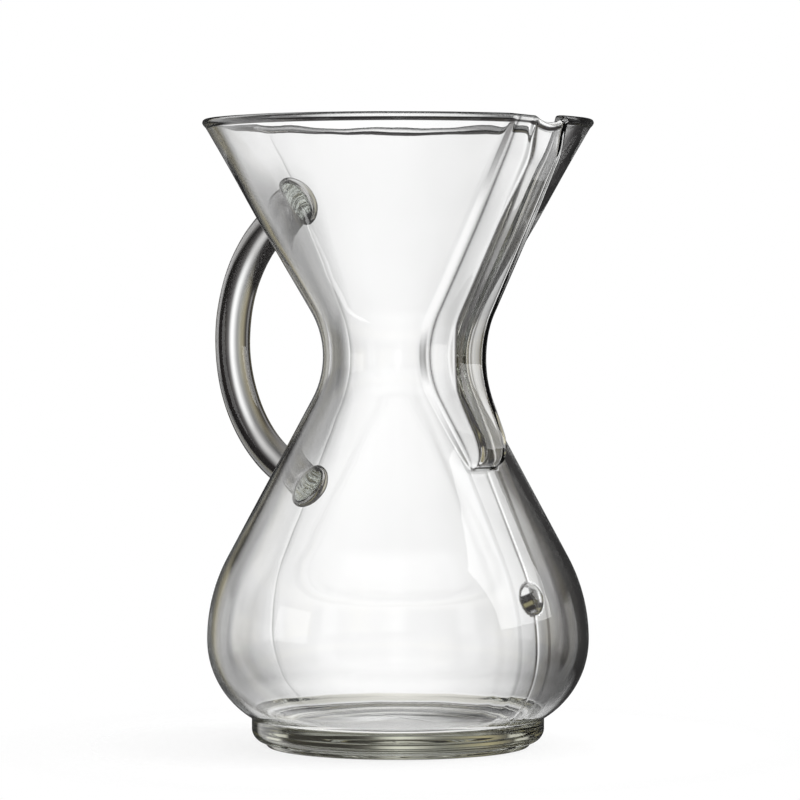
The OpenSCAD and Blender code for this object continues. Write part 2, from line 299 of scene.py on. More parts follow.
# %% [markdown]
# The vessel's wall is a profile turned about the axis. The profile runs from the middle of the dome under
# the floor out over the standing ring, up the outside, over the rounded rim and down the inside to the
# middle of the floor. It is made of arcs and straight lines, most of which touch without a kink, so a few
# radii and heights give every point. Near the top the wall is drawn thinner: a slim round rim, an even
# neck under it, and then slowly the full wall.

# %% Sizes of the vessel
overall_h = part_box("rim_bead")[1].z / MM
rim_d = 2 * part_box("rim_bead")[1].y / MM
flask_d = 2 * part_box("upper_bowl")[1].y / MM
flask_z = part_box("upper_bowl")[0].z / MM
foot_d = 2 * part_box("base")[1].y / MM
wall = 2.8
waist_d = 51.8
waist_z = 134.5
waist_bend_r = 31
flask_upper_r = 60
flask_lower_r = 31.5
foot_edge_r = 4.8
foot_fillet_r = 1.2
ring_d = 91
ring_h = 1.5
ring_edge_r = 0.8
ring_face_w = 4.2
punt_h = 3

bead_c = np.array([(rim_d - wall) / 2, overall_h - wall / 2])
waist_c = np.array([waist_d / 2 + waist_bend_r, waist_z])
upper_c = np.array([flask_d / 2 - flask_upper_r, flask_z])
lower_c = np.array([flask_d / 2 - flask_lower_r, flask_z])
to_bead = bead_c - waist_c
funnel_a = math.asin((waist_bend_r + wall / 2) / math.hypot(*to_bead)) + math.atan2(*to_bead)
to_waist = waist_c - upper_c
shoulder_a = (math.atan2(to_waist[1], to_waist[0])
              - math.acos((waist_bend_r + flask_upper_r) / math.hypot(*to_waist)))
funnel_n = np.array([math.cos(funnel_a), -math.sin(funnel_a)])
shoulder_n = np.array([math.cos(shoulder_a), math.sin(shoulder_a)])
print("slope of the funnel, degrees:", round(math.degrees(funnel_a), 1))
print("slope of the shoulder, degrees:", round(math.degrees(shoulder_a), 1))

# %% Profile of the wall
def arc(centre, radius, start, end, step):
    """Points along an arc, about step mm apart; the angles are in radians."""
    count = max(2, math.ceil(abs(end - start) * radius / step))
    angles = np.linspace(start, end, count + 1)
    return np.stack([centre[0] + radius * np.cos(angles), centre[1] + radius * np.sin(angles)], 1)


def line(start, end, step):
    """Points along a straight line, about step mm apart."""
    count = max(1, math.ceil(math.dist(start, end) / step))
    return np.linspace(start, end, count + 1)


RIM_R = 1.2
NECK_R = 0.9
NECK_AT = 2.0
NECK_HOLD = 12
NECK_END = 42
FINE_RIM = 2.4
HALF_TURN = math.pi
QUARTER = math.pi / 2
ring_face_r = ring_d / 2 - ring_face_w
punt_r = (ring_face_r ** 2 + punt_h ** 2) / (2 * punt_h)
foot_edge_c = (foot_d / 2 - foot_edge_r, ring_h + foot_edge_r)
ring_edge_c = (ring_d / 2 - ring_edge_r, ring_edge_r)
fillet_x = foot_d / 2 + foot_fillet_r
fillet_drop = math.sqrt((flask_lower_r + foot_fillet_r) ** 2 - (fillet_x - lower_c[0]) ** 2)
fillet_c = (fillet_x, flask_z - fillet_drop)
fillet_a = math.atan2(fillet_drop, fillet_x - lower_c[0])
inner_bend_r = waist_bend_r + wall
floor_z = flask_z - (flask_lower_r - wall)
up_funnel = np.array([math.sin(funnel_a), math.cos(funnel_a)])
rim_c = bead_c + (wall / 2 - RIM_R) / math.cos(funnel_a) * up_funnel
neck_start = rim_c - FINE_RIM * up_funnel

outside = np.concatenate([
    arc((0, punt_h - punt_r), punt_r, QUARTER, QUARTER - math.asin(ring_face_r / punt_r), step=2.5),
    line((ring_face_r, 0), (ring_edge_c[0], 0), step=1.0)[1:],
    arc(ring_edge_c, ring_edge_r, -QUARTER, 0, step=0.2)[1:],
    line((ring_d / 2, ring_edge_r), (ring_d / 2, ring_h), step=0.35)[1:],
    line((ring_d / 2, ring_h), (foot_edge_c[0], ring_h), step=0.5)[1:],
    arc(foot_edge_c, foot_edge_r, -QUARTER, 0, step=0.45)[1:],
    line((foot_d / 2, foot_edge_c[1]), (foot_d / 2, fillet_c[1]), step=0.6)[1:],
    arc(fillet_c, foot_fillet_r, HALF_TURN, HALF_TURN - fillet_a, step=0.25)[1:],
    arc(lower_c, flask_lower_r, -fillet_a, 0, step=1.1)[1:],
    arc(upper_c, flask_upper_r, 0, shoulder_a, step=0.75)[1:],
    line(upper_c + flask_upper_r * shoulder_n, waist_c - waist_bend_r * shoulder_n, step=1.1)[1:],
    arc(waist_c, waist_bend_r, HALF_TURN + shoulder_a, HALF_TURN - funnel_a, step=1.0)[1:],
    line(waist_c - waist_bend_r * funnel_n, neck_start + funnel_n * wall / 2, step=1.9)[1:],
    line(neck_start + funnel_n * wall / 2, rim_c + funnel_n * wall / 2, step=0.2)[1:],
])
rim = arc(rim_c, RIM_R, -funnel_a, HALF_TURN - funnel_a, step=0.26)[1:-1]
inside = np.concatenate([
    line(rim_c - funnel_n * wall / 2, neck_start - funnel_n * wall / 2, step=0.2),
    line(neck_start - funnel_n * wall / 2, waist_c - inner_bend_r * funnel_n, step=2.1)[1:],
    arc(waist_c, inner_bend_r, HALF_TURN - funnel_a, HALF_TURN + shoulder_a, step=1.0)[1:],
    line(waist_c - inner_bend_r * shoulder_n, upper_c + (flask_upper_r - wall) * shoulder_n, step=1.3)[1:],
    arc(upper_c, flask_upper_r - wall, shoulder_a, 0, step=1.6)[1:],
    arc(lower_c, flask_lower_r - wall, 0, -QUARTER, step=1.4)[1:],
    line((lower_c[0], floor_z), (0, floor_z), step=2.0)[1:],
])
for side, outward in ((outside, 1), (inside, -1)):
    down = (rim_c - side) @ up_funnel
    half = (RIM_R + (NECK_R - RIM_R) * smooth_step(0, NECK_AT, down)
            + (wall / 2 - NECK_R) * smooth_step(NECK_HOLD, NECK_END, down))
    thinner = wall / 2 - half
    side -= outward * thinner[:, None] * funnel_n
profile = np.concatenate([outside, rim, inside])
print("rows of the profile: outside", len(outside), "rim", len(rim), "inside", len(inside))

# %% [markdown]
# The pouring channel is pressed out of a strip of that wall. Across the strip its section is flat, then a
# fillet, a sloping flank and a flat crest with round edges; the inside follows one wall thickness behind.
# Along the strip, each row of the profile says how much of that section it takes: none below the closed
# end, a quick round rise at a narrower width, all of it past the waist, and less again at the rim, where
# the crest dips to a lip.

# %% Sizes of the channel, and the columns across its strip
channel_depth = 10.5
channel_crest_w = 16.8
channel_foot_w = 23.4
channel_edge_r = 3
channel_inner_edge_r = 1
channel_fillet_r = 1.6
channel_inner_fillet_r = 2.4
channel_bottom_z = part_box("pour_channel")[0].z / MM
channel_end_l = 12
channel_end_taper = 0.42
channel_taper_l = 42
channel_rim_depth = 6.5
channel_fade_l = 15
lip_dip = 3
strip_edge_w = 0.8
STRIP_COLUMNS = 32
EVEN_SHARE = 0.15
BEND_WEIGHT = 6
STEPS_PER_RADIUS = 6
AROUND_COLUMNS = 132
REAR_SEAM_TURNS = [0.00045, 0.0009, 0.0015, 0.0024]
# where the painted line of shade sits on the channel's flank, and how wide it is, in mm
FOLD_SHADE_LIFT = 2.6
FOLD_SHADE_W = 0.65

flank_a = math.atan((channel_foot_w - channel_crest_w) / 2 / channel_depth)
tangent_share = math.tan((QUARTER - flank_a) / 2)
wider_r = max(channel_fillet_r, channel_inner_fillet_r - wall)
strip_w = channel_foot_w + 2 * (wider_r * tangent_share + strip_edge_w)


def across(narrower, fillet_r, edge_r, share):
    """Side and lift of the channel's section, for shares from 0 at the crest to 1 at the strip's edge."""
    edge_c = (channel_crest_w / 2 - narrower - edge_r * tangent_share, channel_depth - edge_r)
    fillet_c = (channel_foot_w / 2 - narrower + fillet_r * tangent_share, fillet_r)
    edge = arc(edge_c, edge_r, QUARTER, flank_a, edge_r / STEPS_PER_RADIUS)
    fillet = arc(fillet_c, fillet_r, HALF_TURN + flank_a, HALF_TURN + QUARTER, fillet_r / STEPS_PER_RADIUS)
    outline = np.concatenate([[[0, channel_depth]], edge, fillet, [[strip_w / 2, 0]]])
    stretches = np.hypot(*np.diff(outline, axis=0).T)
    bends = np.concatenate([[0], np.full(len(edge) - 1, BEND_WEIGHT / len(edge)), [0],
                            np.full(len(fillet) - 1, BEND_WEIGHT / len(fillet)), [0]])
    run = np.concatenate([[0], np.cumsum(stretches + bends)])
    at = share * run[-1]
    return np.interp(at, run, outline[:, 0]), np.interp(at, run, outline[:, 1])


share = np.linspace(-1, 1, 2 * STRIP_COLUMNS + 1)
side_out, lift_out = across(0, channel_fillet_r, channel_edge_r, abs(share))
side_in, lift_in = across(wall * tangent_share, channel_inner_fillet_r, channel_inner_edge_r, abs(share))
sign = np.sign(share)
even = strip_w / 2 * (EVEN_SHARE * share + (1 - EVEN_SHARE) * share ** 3)
turns = np.linspace(0, 1, AROUND_COLUMNS + 2)[1:-1]
turns = np.sort(np.concatenate([turns, [0.5], *[(0.5 - t, 0.5 + t) for t in REAR_SEAM_TURNS], [1]]))
rest = np.zeros(len(turns))
# a column also holds the painted line of shade across the strip, at the channel's fold
columns = number_table(
    "columns", np.zeros((len(share) + len(turns), 3)),
    side_out=np.concatenate([side_out * sign, rest + strip_w / 2]),
    side_in=np.concatenate([side_in * sign, rest + strip_w / 2]),
    side_even=np.concatenate([even, rest + strip_w / 2]),
    lift_out=np.concatenate([lift_out, rest]),
    lift_in=np.concatenate([lift_in, rest]),
    fold=np.concatenate([np.exp(-((lift_out - FOLD_SHADE_LIFT) / FOLD_SHADE_W) ** 2), rest]),
    taper=np.concatenate([np.where(abs(share) < 1, -channel_end_taper, 0), rest]),
    dip=np.concatenate([lip_dip * (1 + np.cos(np.pi * side_out * sign * 2 / strip_w)) / 2, rest]),
    lead=np.concatenate([np.ones(len(share)), 1 - 2 * turns]),
    turn=np.concatenate([np.zeros(len(share)), 2 * np.pi * turns]))
print("columns round the vessel:", len(columns.data.vertices))

# %% What each row takes of the channel
FLAT_BELOW = 20
SMALL_R = 25
radius, height = profile.T
inner = np.concatenate([np.zeros(len(outside)), (1 - np.cos(np.linspace(0, np.pi, len(rim)))) / 2,
                        np.ones(len(inside))])
up_wall = np.clip((height - channel_bottom_z) / channel_end_l, 0, 1)
rise = np.sqrt(1 - (1 - up_wall) ** 2)
fade = smooth_step(overall_h - channel_fade_l, overall_h, height)
# a row also says how much of the channel's painted line of shade it carries
rows = number_table(
    "rows", np.zeros((len(profile), 3)),
    radius=radius, height=height, inner=inner,
    section=smooth_step(channel_bottom_z - FLAT_BELOW, channel_bottom_z, height),
    depth=rise * (1 - fade * (1 - channel_rim_depth / channel_depth)),
    fold_share=rise * (1 - inner),
    narrow=(1 - np.clip((height - channel_bottom_z) / channel_taper_l, 0, 1)) ** 2,
    dip_share=np.clip((height - channel_bottom_z) / (overall_h - channel_bottom_z), 0, 1),
    per_radius=1 / np.maximum(radius, SMALL_R),
    slope=-math.tan(funnel_a) * smooth_step(waist_z, waist_z + waist_bend_r / 2, height))
print("rows with some channel:", int((rise > 0).sum()))

# %% [markdown]
# A lathe in Geometry Nodes: a flat grid has a row of points for each row of the profile and a column for
# each angle. Every point looks up its row and its column in the two tables, and one formula puts it in
# place. The angle comes from the distance across the strip, so the strip keeps its width while the rest
# of the wall shares the way round. The last column falls on the first, and the end rows on the axis, so
# merging closes the skin. Two noises then move the finished surface along its normals by fractions of a
# millimetre: the inside of a blown wall is never quite even, and a fire-polished rim ripples.

# %% Lathe tree: the two tables and the grid
def new_tree(name, inputs, output):
    """A Geometry Nodes tree with one output, and the sockets of its named inputs."""
    tree = bpy.data.node_groups.new(name, "GeometryNodeTree")
    tree.is_modifier = True
    for key, kind in inputs.items():
        tree.interface.new_socket(key, in_out="INPUT", socket_type="NodeSocket" + kind)
    tree.interface.new_socket(output, in_out="OUTPUT", socket_type="NodeSocketGeometry")
    return tree, add(tree, "NodeGroupInput").node.outputs


lathe, entry = new_tree("lathe_with_channel", {
    "Rows": "Object", "Columns": "Object", "Inside swell": "Float", "Rim ripple": "Float",
    "Glass": "Material"}, "Vessel")
row_points = add(lathe, "GeometryNodeObjectInfo", {"Object": entry["Rows"]}, out="Geometry")
column_points = add(lathe, "GeometryNodeObjectInfo", {"Object": entry["Columns"]}, out="Geometry")
row_count = add(lathe, "GeometryNodeAttributeDomainSize", {"Geometry": row_points}, out="Point Count")
column_count = add(lathe, "GeometryNodeAttributeDomainSize", {"Geometry": column_points}, out="Point Count")
grid = add(lathe, "GeometryNodeMeshGrid", {"Vertices X": row_count, "Vertices Y": column_count})
index = add(lathe, "GeometryNodeInputIndex")
row_index = add(lathe, "FunctionNodeIntegerMath", {0: index, 1: column_count}, operation="DIVIDE_FLOOR")
column_index = add(lathe, "FunctionNodeIntegerMath", {0: index, 1: column_count}, operation="MODULO")
print("inputs of the lathe tree:", list(entry.keys()))

# %% [markdown]
# Now the formula. Each point reads the numbers of its row and its column, goes out from the axis by the
# radius, round it by the angle and up by the height, and then a little outwards along X where the channel
# lifts it.

# %% Lathe tree: the place of each point
MERGE_MM = 0.001


def look_up(points, at, name):
    """The named number of one entry of a table."""
    named = add(lathe, "GeometryNodeInputNamedAttribute", {"Name": name}, data_type="FLOAT")
    return add(lathe, "GeometryNodeSampleIndex", {"Geometry": points, "Value": named, "Index": at})


row = {a.name: look_up(row_points, row_index, a.name)
       for a in rows.data.attributes if a.data_type == "FLOAT"}
col = {a.name: look_up(column_points, column_index, a.name)
       for a in columns.data.attributes if a.data_type == "FLOAT"}

side = add(lathe, "ShaderNodeMix", {0: row["inner"], 2: col["side_out"], 3: col["side_in"]})
side = add(lathe, "ShaderNodeMix", {0: row["section"], 2: col["side_even"], 3: side})
taper = add(lathe, "ShaderNodeMath", {0: col["taper"], 1: row["narrow"]}, operation="MULTIPLY")
side = add(lathe, "ShaderNodeMath", {0: side, 1: taper, 2: side}, operation="MULTIPLY_ADD")
sine = add(lathe, "ShaderNodeMath", {0: side, 1: row["per_radius"]}, operation="MULTIPLY")
strip_angle = add(lathe, "ShaderNodeMath", {0: sine}, operation="ARCSINE")
angle = add(lathe, "ShaderNodeMath", {0: strip_angle, 1: col["lead"], 2: col["turn"]},
            operation="MULTIPLY_ADD")
dip = add(lathe, "ShaderNodeMath", {0: col["dip"], 1: row["dip_share"]}, operation="MULTIPLY")
reach = add(lathe, "ShaderNodeMath", {0: dip, 1: row["slope"], 2: row["radius"]}, operation="MULTIPLY_ADD")
lift = add(lathe, "ShaderNodeMix", {0: row["inner"], 2: col["lift_out"], 3: col["lift_in"]})
lift = add(lathe, "ShaderNodeMath", {0: lift, 1: row["depth"]}, operation="MULTIPLY")
cosine = add(lathe, "ShaderNodeMath", {0: angle}, operation="COSINE")
sine = add(lathe, "ShaderNodeMath", {0: angle}, operation="SINE")
x = add(lathe, "ShaderNodeMath", {0: cosine, 1: reach, 2: lift}, operation="MULTIPLY_ADD")
y = add(lathe, "ShaderNodeMath", {0: sine, 1: reach}, operation="MULTIPLY")
z = add(lathe, "ShaderNodeMath", {0: row["height"], 1: dip}, operation="SUBTRACT")
in_mm = add(lathe, "ShaderNodeCombineXYZ", {0: x, 1: y, 2: z})
in_metres = add(lathe, "ShaderNodeVectorMath", {0: in_mm, "Scale": MM}, operation="SCALE")
turned = add(lathe, "GeometryNodeSetPosition", {"Geometry": grid, "Position": in_metres})
# the painted line of shade at the channel's fold, stored for the material
fold = add(lathe, "ShaderNodeMath", {0: col["fold"], 1: row["fold_share"]}, operation="MULTIPLY")
for name, value in (("inner", row["inner"]), ("fold", fold)):
    turned = add(lathe, "GeometryNodeStoreNamedAttribute", {
        "Geometry": turned, "Name": name, "Value": value}, data_type="FLOAT", domain="POINT")
merged = add(lathe, "GeometryNodeMergeByDistance", {"Geometry": turned, "Distance": MERGE_MM * MM})
closed = add(lathe, "GeometryNodeFlipFaces", {"Mesh": merged})
print("numbers of a row:", sorted(row), "and of a column:", sorted(col))

# %% [markdown]
# The last part of the tree adds what the mould and the flame leave. A slow noise moves the inside of the
# wall, and a finer one the top of the wall, inside and out. Noise seldom goes above 0.85, so with that
# taken off both push the skin into the glass, and the object stays within its size.

# %% Lathe tree: waves in the wall and ripples in the rim
RIPPLE_MM = 9
SWELL_MM = 30
RIPPLE_BELOW = (16, 7)
NOISE_TOP = 0.85


def end_tree(tree, skin, shift, glass):
    """Ends a tree: moves the skin along its normals, shades it smooth and gives it its glass."""
    normal = add(tree, "GeometryNodeInputNormal", out="Normal")
    push = add(tree, "ShaderNodeVectorMath", {0: normal, "Scale": shift}, operation="SCALE")
    moved = add(tree, "GeometryNodeSetPosition", {"Geometry": skin, "Offset": push})
    smooth = add(tree, "GeometryNodeSetShadeSmooth", {"Geometry": moved})
    real = add(tree, "GeometryNodeRealizeInstances", {"Geometry": smooth})
    glazed = add(tree, "GeometryNodeSetMaterial", {"Geometry": real, "Material": glass})
    add(tree, "NodeGroupOutput", {0: glazed})


swell = add(lathe, "ShaderNodeTexNoise", {"Scale": 1 / (SWELL_MM * MM), "Detail": 0.5})
swell = add(lathe, "ShaderNodeMath", {0: swell, 1: NOISE_TOP}, operation="SUBTRACT")
is_inner = add(lathe, "GeometryNodeInputNamedAttribute", {"Name": "inner"}, data_type="FLOAT")
swell = add(lathe, "ShaderNodeMath", {0: swell, 1: is_inner}, operation="MULTIPLY")
ripple = add(lathe, "ShaderNodeTexNoise", {"Scale": 1 / (RIPPLE_MM * MM), "Detail": 0.0})
ripple = add(lathe, "ShaderNodeMath", {0: ripple, 1: NOISE_TOP}, operation="SUBTRACT")
here_z = add(lathe, "ShaderNodeSeparateXYZ", {0: add(lathe, "GeometryNodeInputPosition")}, out="Z")
near_rim = add(lathe, "ShaderNodeMapRange", {
    "Value": here_z, "From Min": (overall_h - RIPPLE_BELOW[0]) * MM,
    "From Max": (overall_h - RIPPLE_BELOW[1]) * MM}, interpolation_type="SMOOTHSTEP")
for share in (near_rim, entry["Rim ripple"]):
    ripple = add(lathe, "ShaderNodeMath", {0: ripple, 1: share}, operation="MULTIPLY")
shift = add(lathe, "ShaderNodeMath", {0: swell, 1: entry["Inside swell"], 2: ripple},
            operation="MULTIPLY_ADD")
end_tree(lathe, closed, shift, entry["Glass"])
print("nodes in the lathe tree:", len(lathe.nodes))

# %% Turn the vessel and keep its mesh
INSIDE_SWELL = 0.3
RIM_RIPPLE = 0.06


def made_by(tree, name, settings):
    """A plain mesh object made by a Geometry Nodes tree whose inputs are given by name."""
    maker = bpy.data.objects.new(name + "_maker", bpy.data.meshes.new(name + "_maker"))
    scene.collection.objects.link(maker)
    modifier = maker.modifiers.new(tree.name, "NODES")
    modifier.node_group = tree
    for item in tree.interface.items_tree:
        if item.in_out == "INPUT" and item.name in settings:
            modifier[item.identifier] = settings[item.name]
    bpy.context.view_layer.update()
    shape = maker.evaluated_get(bpy.context.evaluated_depsgraph_get())
    piece = bpy.data.objects.new(name, bpy.data.meshes.new_from_object(shape))
    scene.collection.objects.link(piece)
    maker.modifiers.remove(modifier)
    bpy.data.objects.remove(maker)
    print(name, "has", len(piece.data.vertices), "points and", len(piece.data.polygons), "faces")
    return piece


vessel = made_by(lathe, "vessel", {"Rows": rows, "Columns": columns, "Inside swell": INSIDE_SWELL * MM,
                                   "Rim ripple": RIM_RIPPLE * MM, "Glass": vessel_glass})
for table in (rows, columns):
    bpy.data.objects.remove(table)

# %% [markdown]
# Two details sit on the outside of the wall. A domed button marks the level of a half-full flask,
# and the two halves of the mould leave a seam, a thin raised line that runs down the back and down the
# front below the channel. Both are small hills on the finished skin, so its points are moved out along
# their normals by a formula.

# %% Level button and mould seams
button_d = 10.5
button_h = 3
button_z = 54
SEAM_W = 0.55
SEAM_H = 0.07
SEAM_SWING = 0.25
SEAM_SWING_MM = 5
SEAM_BELOW_CHANNEL = 2
SEAM_BELOW_RIM = 4
SEAM_ABOVE_RING = 1
SEAM_FADE = (0.02, 0.4)


def read_points(mesh, kind):
    """The places (co) or the normals of the points of a mesh, a row for each."""
    numbers = np.empty(len(mesh.vertices) * 3, np.float32)
    mesh.vertices.foreach_get(kind, numbers)
    return numbers.reshape(-1, 3)


def write_points(mesh, points):
    """Puts the points of a mesh at places in millimetres."""
    mesh.vertices.foreach_set("co", (points * MM).astype(np.float32).ravel())
    mesh.update()


mesh = vessel.data
points = read_points(mesh, "co") / MM
normals = read_points(mesh, "normal")
is_in = np.empty(len(points), np.float32)
mesh.attributes["inner"].data.foreach_get("value", is_in)
mesh.attributes.remove(mesh.attributes["inner"])
on_outside = is_in == 0

button_a = math.asin((button_z - flask_z) / flask_upper_r)
button_n = np.array([math.cos(button_a), 0, math.sin(button_a)])
button_p = np.array([upper_c[0], 0, upper_c[1]]) + flask_upper_r * button_n
away = np.linalg.norm(points - button_p, axis=1)
cap_r = ((button_d / 2) ** 2 + button_h ** 2) / (2 * button_h)
dome = np.sqrt(np.maximum(cap_r ** 2 - away ** 2, 0)) - (cap_r - button_h)
dome = np.where(on_outside & (away < button_d / 2), np.maximum(dome, 0), 0)

on_front = (points[:, 0] > 0) & (points[:, 2] < channel_bottom_z - SEAM_BELOW_CHANNEL)
on_back = points[:, 0] < 0
below_rim = (points[:, 2] < overall_h - SEAM_BELOW_RIM) & (points[:, 2] > ring_h + SEAM_ABOVE_RING)
swing = 1 - SEAM_SWING + SEAM_SWING * np.sin(points[:, 2] / SEAM_SWING_MM)
ridge = SEAM_H * np.exp(-(points[:, 1] / SEAM_W) ** 2) * swing
ridge = np.where(on_outside & below_rim & (on_front | on_back), ridge, 0)
front_x = cad_box[1].x / MM
in_box = smooth_step(front_x - SEAM_FADE[0], front_x - SEAM_FADE[1], points[:, 0])
points += normals * np.maximum(dome, ridge * in_box)[:, None]
write_points(mesh, points)
print("points moved for the button:", int((dome > 0).sum()))
print("height of the seams, mm:", round(float((ridge * in_box).max()), 3))

# %% [markdown]
# The handle is a solid glass rod. A glassworker softens it, bends it to a bow, flares both ends and
# presses them on to the hot wall, where they fuse and flatten. Its path is straight out of the wall at
# each end and one arc between. A line of points holds that path, and carries the radius as an attribute:
# it swells from the rod to the flat weld.

# %% Sizes and path of the rod
rod_d = 12.6
upper_end_l = 8.6
handle_reach = -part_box("handle_bow")[0].x / MM - rod_d / 2
handle_z = 139.2
weld_d = 16.6
weld_edge_h = 1.4
weld_flare_h = 5
weld_sink = 0.4
weld_round = 0.7
TIP_R = 0.05
ROUND_POINTS = 6
FLARE_POINTS = 10
STATION_MM = 1.2
STATION_REST = 0.5
BOW_STEP = 1.6

funnel_top = bead_c + funnel_n * wall / 2
shoulder_top = waist_c - waist_bend_r * shoulder_n
handle_c = np.array([
    funnel_top[0] + (upper_end_l - (handle_z - funnel_top[1]) * funnel_n[1]) / funnel_n[0], handle_z])
handle_bend_r = handle_reach - handle_c[0]
handle_top = handle_c + handle_bend_r * np.array([math.sin(funnel_a), math.cos(funnel_a)])
handle_low = handle_c + handle_bend_r * np.array([math.sin(shoulder_a), -math.cos(shoulder_a)])
lower_end_l = float((handle_low - shoulder_top) @ shoulder_n)
upper_weld = handle_top - upper_end_l * funnel_n
lower_weld = handle_low - lower_end_l * shoulder_n
bow = arc(handle_c, handle_bend_r, QUARTER - funnel_a, shoulder_a - QUARTER, BOW_STEP)


def end_stations(length):
    """Distances from the wall and radii along a straight end: rounded rim, edge, flare, then plain rod."""
    rim_turn = np.linspace(0, QUARTER, ROUND_POINTS)
    swell_turn = np.linspace(0, QUARTER, FLARE_POINTS)[1:]
    spread = (weld_d - rod_d) / 2
    out = [0, *(weld_round * (1 - np.cos(rim_turn))), weld_edge_h,
           *(weld_edge_h + weld_flare_h * (1 - np.cos(swell_turn)))]
    thick = [TIP_R, *(weld_d / 2 - weld_round * (1 - np.sin(rim_turn))), weld_d / 2,
             *(weld_d / 2 - spread * np.sin(swell_turn))]
    more = np.arange(out[-1] + STATION_MM, length - STATION_REST, STATION_MM)
    out = np.array([*out, *more]) - weld_sink
    return out, np.array([*thick, *np.full(len(more), rod_d / 2)])


upper_out, upper_thick = end_stations(upper_end_l)
lower_out, lower_thick = end_stations(lower_end_l)
path = np.concatenate([upper_weld + upper_out[:, None] * funnel_n, bow,
                       (lower_weld + lower_out[:, None] * shoulder_n)[::-1]])
girth = np.concatenate([upper_thick, np.full(len(bow), rod_d / 2), lower_thick[::-1]])
rod_line = number_table(
    "rod_line", np.stack([-path[:, 0], np.zeros(len(path)), path[:, 1]], 1) * MM,
    edges=[(i, i + 1) for i in range(len(path) - 1)], girth=girth * MM)
print("length of the rod, mm:", round(float(np.hypot(*np.diff(path, axis=0).T).sum()), 1))

# %% [markdown]
# Where the rod is fused to the wall no surface is left between them: light runs straight from one into
# the other. The two meshes still have skins there, so both materials turn transparent within the two
# round contacts. A point is in a contact if it is close to the middle of the weld, both along the rod and
# across it.

# %% Fused contacts
CONTACT_DEPTH = 1.2
contact_r = weld_d / 2 - weld_round
for glass, shader in ((vessel_glass, vessel_shader), (rod_glass, rod_shader)):
    tree = glass.node_tree
    place = add(tree, "ShaderNodeTexCoord", out="Object")
    fused = 0.0
    for weld, out in ((upper_weld, funnel_n), (lower_weld, shoulder_n)):
        middle = (-weld[0] * MM, 0, weld[1] * MM)
        outward = (-out[0], 0, out[1])
        offset = add(tree, "ShaderNodeVectorMath", {0: place, 1: middle}, operation="SUBTRACT")
        along = add(tree, "ShaderNodeVectorMath", {0: offset, 1: outward},
                    operation="DOT_PRODUCT", out="Value")
        on_axis = add(tree, "ShaderNodeVectorMath", {0: outward, "Scale": along}, operation="SCALE")
        off_axis = add(tree, "ShaderNodeVectorMath", {0: offset, 1: on_axis},
                       operation="DISTANCE", out="Value")
        within = add(tree, "ShaderNodeMath", {0: off_axis, 1: contact_r * MM}, operation="LESS_THAN")
        beside = add(tree, "ShaderNodeMath", {0: along, 1: 0.0, 2: CONTACT_DEPTH * MM}, operation="COMPARE")
        both = add(tree, "ShaderNodeMath", {0: within, 1: beside}, operation="MULTIPLY")
        fused = add(tree, "ShaderNodeMath", {0: both, 1: fused}, operation="MAXIMUM")
    open_way = add(tree, "ShaderNodeBsdfTransparent")
    joined = add(tree, "ShaderNodeMixShader", {0: fused, 1: shader.outputs["BSDF"], 2: open_way})
    tree.links.new(joined, tree.get_output_node("ALL").inputs["Surface"])
print("radius of the fused contacts, mm:", round(contact_r, 1))

# %% [markdown]
# The rod itself is swept: a circle follows the line of points and takes its radius at each one from the
# attribute. A slow noise then moves the skin a little along its normals, because a rod drawn by hand is
# never quite even.

# %% Sweep tree
ROD_WAVE_MM = 16
ROD_SIDES = 72
ROD_UNEVEN = 0.25
NOISE_MIDDLE = 0.5

sweep, entry = new_tree("swept_rod", {"Path": "Object", "Sides": "Int", "Unevenness": "Float",
                                      "Glass": "Material"}, "Rod")
path_points = add(sweep, "GeometryNodeObjectInfo", {"Object": entry["Path"]}, out="Geometry")
centre_line = add(sweep, "GeometryNodeMeshToCurve", {"Mesh": path_points})
circle = add(sweep, "GeometryNodeCurvePrimitiveCircle", {"Resolution": entry["Sides"], "Radius": 1.0})
thickness = add(sweep, "GeometryNodeInputNamedAttribute", {"Name": "girth"}, data_type="FLOAT")
tube = add(sweep, "GeometryNodeCurveToMesh", {"Curve": centre_line, "Profile Curve": circle,
                                              "Scale": thickness, "Fill Caps": True})
noise = add(sweep, "ShaderNodeTexNoise", {"Scale": 1 / (ROD_WAVE_MM * MM), "Detail": 1.0})
amount = add(sweep, "ShaderNodeMath", {0: noise, 1: NOISE_MIDDLE}, operation="SUBTRACT")
amount = add(sweep, "ShaderNodeMath", {0: amount, 1: entry["Unevenness"]}, operation="MULTIPLY")
end_tree(sweep, tube, amount, entry["Glass"])

handle = made_by(sweep, "handle", {"Path": rod_line, "Sides": ROD_SIDES, "Unevenness": ROD_UNEVEN * MM,
                                   "Glass": rod_glass})
bpy.data.objects.remove(rod_line)

# %% [markdown]
# The two ends are still flat, and the wall is round. Near each weld the points sink by the sag of a
# circle with the wall's radius, and the shift fades out along the flare.

# %% Bend the welds to the wall
weld_reach = 2 * weld_d
points = read_points(handle.data, "co") / MM
for weld, out, a in ((upper_weld, funnel_n, funnel_a), (lower_weld, shoulder_n, shoulder_a)):
    outward = np.array([-out[0], 0, out[1]])
    at = np.array([-weld[0], 0, weld[1]])
    from_wall = (points - at) @ outward
    near = 1 - smooth_step(weld_edge_h, weld_edge_h + weld_flare_h, from_wall)
    near[np.linalg.norm(points - at, axis=1) > weld_reach] = 0
    wall_round_r = weld[0] / math.cos(a)
    sag = points[:, 1] ** 2 / (2 * wall_round_r)
    points -= (near * sag)[:, None] * outward
write_points(handle.data, points)
print("handle reaches, mm:", round(float(points[:, 0].min()), 1))

# %% [markdown]
# The pieces ride on the model's one body and stand for its nodes. The vessel is one skin, because the
# real one is blown in one piece and any joint inside the wall would show as a bright line.

